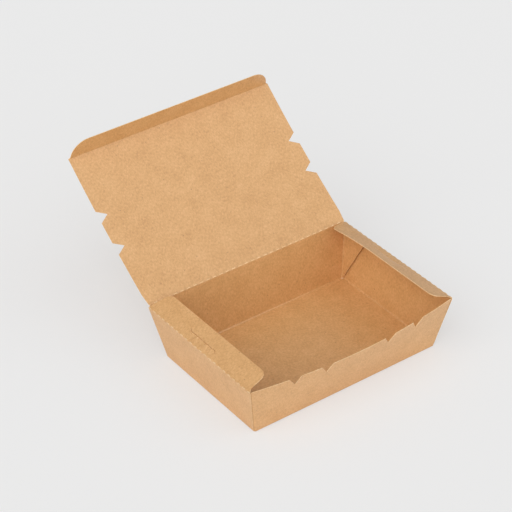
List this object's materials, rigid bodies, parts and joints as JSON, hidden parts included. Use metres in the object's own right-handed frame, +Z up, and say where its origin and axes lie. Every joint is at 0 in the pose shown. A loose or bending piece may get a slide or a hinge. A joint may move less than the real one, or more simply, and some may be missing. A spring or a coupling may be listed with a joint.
{
  "type": "takeaway box",
  "caption": "Open kraft board takeaway box: sloping tray, hinged lid with tuck flap, and a folding side flap at each end.",
  "frame": {"origin": "middle of the base's underside, on the surface the box stands on", "axes": "+Z up, +X along the front wall, +Y back towards the lid's hinge"},
  "size_m": [0.199, 0.2548, 0.1486],
  "materials": {
    "kraft_board": "matte"
  },
  "bodies": {
    "tray": {"tray": "kraft_board"},
    "lid": {"lid": "kraft_board"},
    "tuck_flap": {"tuck_flap": "kraft_board"},
    "left_flap": {"left_flap": "kraft_board"},
    "right_flap": {"right_flap": "kraft_board"}
  },
  "joints": [
    {"name": "lid_hinge", "type": "hinge", "parent": "tray", "child": "lid", "pos_m": [0, 0.069, 0.04945], "axis": [-1, 0, 0], "range_deg": [-142.6, 37.4]},
    {"name": "tuck_fold", "type": "hinge", "parent": "lid", "child": "tuck_flap", "pos_m": [0, 0.17791, 0.13271], "axis": [1, 0, 0], "range_deg": [-9, 34]},
    {"name": "left_flap_fold", "type": "hinge", "parent": "tray", "child": "left_flap", "pos_m": [-0.09925, 0, 0.04865], "axis": [0, -1, 0], "range_deg": [-24.2, 6.5]},
    {"name": "right_flap_fold", "type": "hinge", "parent": "tray", "child": "right_flap", "pos_m": [0.09925, 0, 0.04865], "axis": [0, 1, 0], "range_deg": [-24.2, 6.5]}
  ],
  "couplings": [
    {"joint": "tuck_fold", "follows": "lid_hinge", "ratio": -0.2255},
    {"joint": "left_flap_fold", "follows": "lid_hinge", "ratio": 0.169},
    {"joint": "right_flap_fold", "follows": "lid_hinge", "ratio": 0.169}
  ]
}
